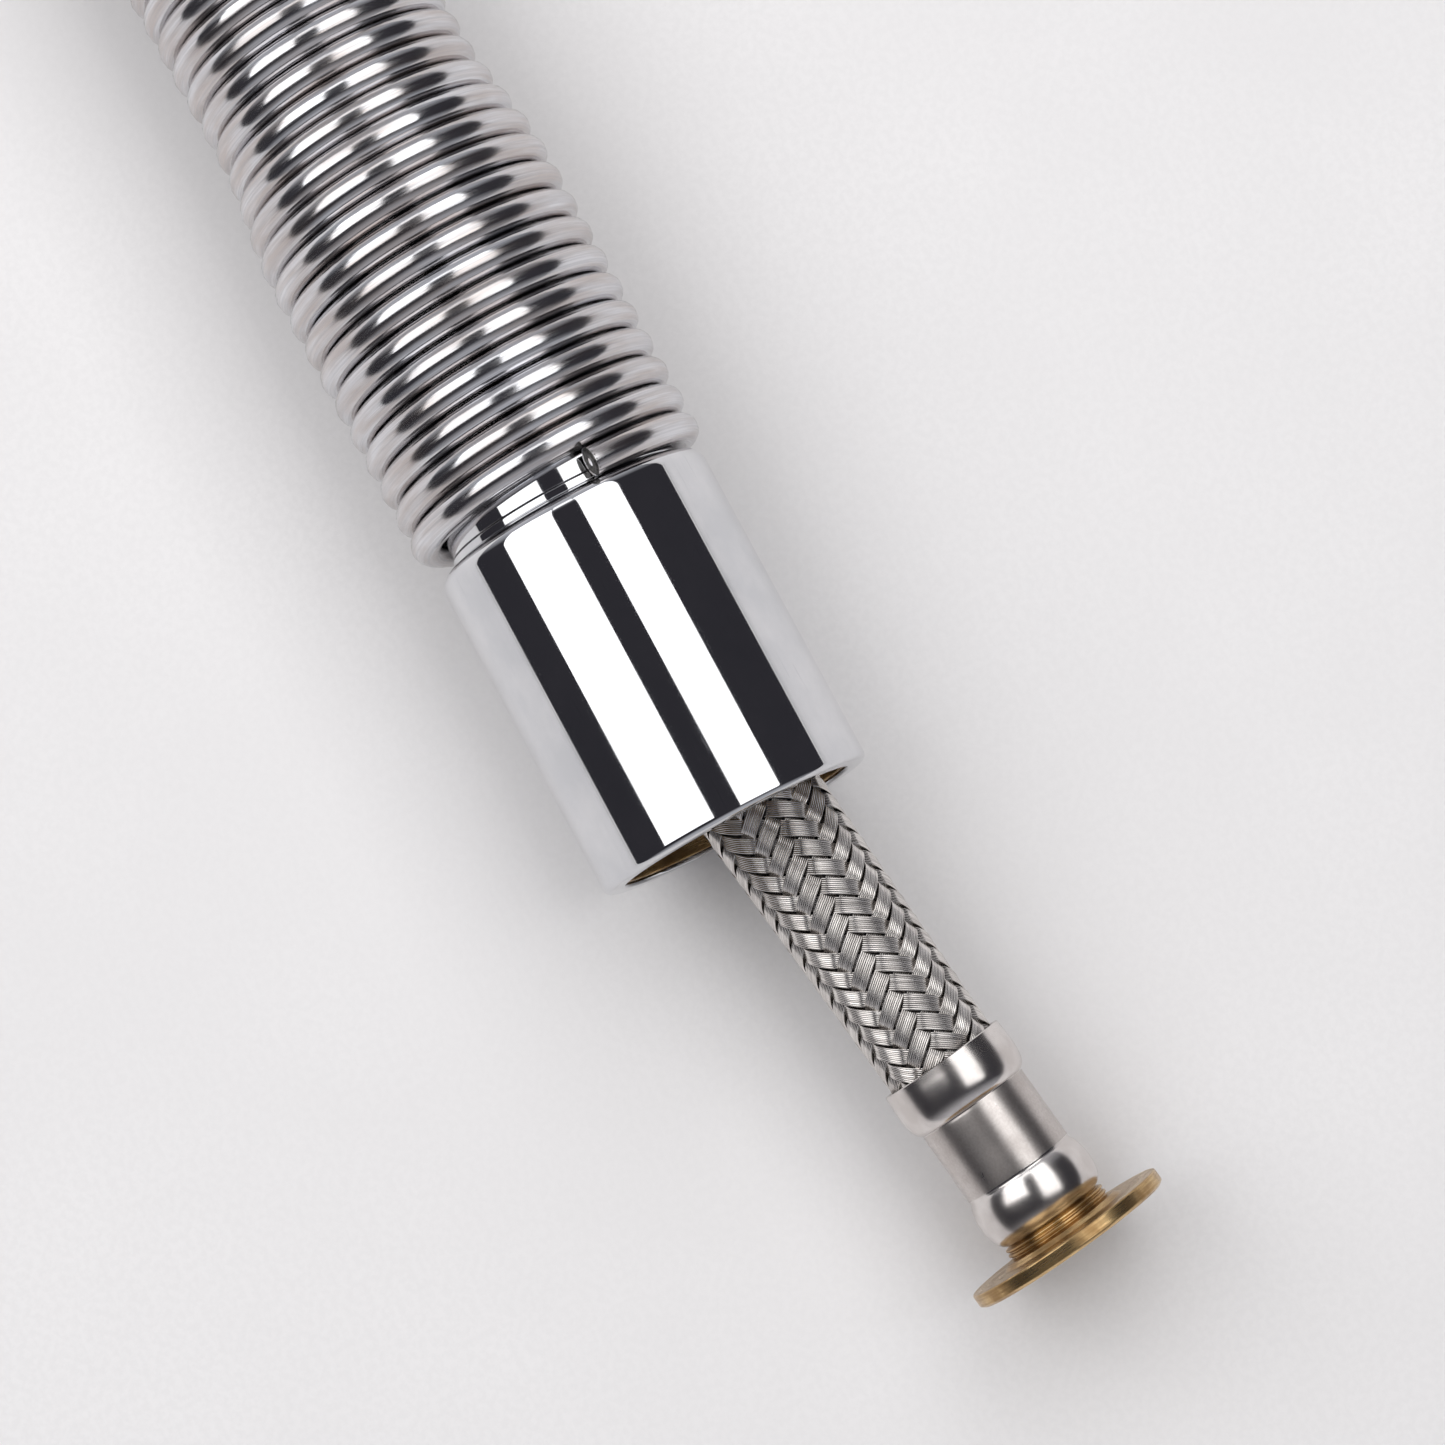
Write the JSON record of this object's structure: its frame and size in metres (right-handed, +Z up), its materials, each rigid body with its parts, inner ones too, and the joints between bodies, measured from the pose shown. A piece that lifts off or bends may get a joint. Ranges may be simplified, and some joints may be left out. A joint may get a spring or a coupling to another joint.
{
  "type": "handheld bath sprayer",
  "caption": "Handheld bath sprayer: braided hose in a close-wound guard spring with a sliding swivel coupling nut, grip, rear squeeze lever and perforated spray head.",
  "frame": {"origin": "centre of the footprint, on the surface that it lies on", "axes": "+Z up; the hose runs along X with its inlet end at +X and the spray head at -X; the spray face points to +Y"},
  "size_m": [0.5392, 0.0834, 0.039],
  "materials": {
    "chrome": "polished",
    "spring_chrome": "polished",
    "stainless": "satin",
    "braid": "woven wire",
    "brass": "turned",
    "liner": "smooth",
    "seal": "smooth",
    "grip": "matt",
    "plastic": "moulded",
    "spring_steel": "drawn wire"
  },
  "bodies": {
    "handle": {"guard_spring": "spring_chrome", "upper_bush": "chrome", "handle_core": "chrome", "grip_sleeve": "grip", "upper_ring": "chrome", "lower_collar": "chrome", "valve_body": "chrome", "neck_gasket": "seal", "bonnet": "chrome", "bonnet_gasket": "seal", "stem_o_ring": "seal", "gland_nut": "brass", "return_spring": "spring_steel", "lever_pin": "stainless", "pin_clips": "spring_steel", "spray_bell": "chrome", "diffuser": "plastic", "face_gasket": "seal", "spray_face": "stainless", "face_screw": "stainless", "bumper": "grip"},
    "coupling": {"lower_bush": "chrome", "snap_ring": "spring_steel"},
    "nut": {"coupling_nut": "chrome"},
    "hose": {"hose_liner": "liner", "hose_braid": "braid", "upper_ferrule": "stainless", "swivel_tail": "brass", "swivel_o_rings": "seal"},
    "tail": {"inlet_tail": "brass", "inlet_ferrule": "stainless"},
    "stem": {"stem": "stainless", "seat_washer": "seal", "poppet_disc": "brass", "poppet_nut": "brass"},
    "lever": {"lever": "stainless"},
    "bail": {"bail": "stainless"}
  },
  "joints": [
    {"name": "coupling_slide", "type": "slide", "parent": "handle", "child": "coupling", "axis": [1, 0, -0.0099], "range_m": [0, 0.055], "stiffness_N_per_m": 600},
    {"name": "nut_spin", "type": "hinge", "parent": "coupling", "child": "nut", "pos_m": [0.21674, 0.00317, 0.01491], "axis": [-1, 0, 0.0099], "continuous": true},
    {"name": "hose_swivel", "type": "hinge", "parent": "handle", "child": "hose", "pos_m": [-0.08838, 0.00317, 0.01794], "axis": [-1, 0, 0.0099], "continuous": true},
    {"name": "tail_flex", "type": "hinge", "parent": "hose", "child": "tail", "pos_m": [0.19004, 0.00317, 0.01517], "axis": [-0.0094, -0.323, -0.9463], "range_deg": [0, 7.5], "deforming": ["hose_braid", "hose_liner"]},
    {"name": "lever_pivot", "type": "hinge", "parent": "handle", "child": "lever", "pos_m": [-0.26487, -0.03583, 0.0197], "axis": [0.0099, 0, 1], "range_deg": [0, 5.5], "stiffness_Nm_per_rad": 1.2, "springref_deg": -5.73},
    {"name": "stem_slide", "type": "slide", "parent": "handle", "child": "stem", "axis": [0, 1, 0], "range_m": [0, 0.0021], "deforming": ["return_spring"]},
    {"name": "bail_pivot", "type": "hinge", "parent": "handle", "child": "bail", "pos_m": [-0.09213, -0.01503, 0.01798], "axis": [-0.0099, 0, -1], "range_deg": [0, 120]}
  ],
  "couplings": [
    {"joint": "tail_flex", "follows": "coupling_slide", "rad_per_m": 2.3458},
    {"joint": "stem_slide", "follows": "lever_pivot", "m_per_rad": 0.021}
  ]
}
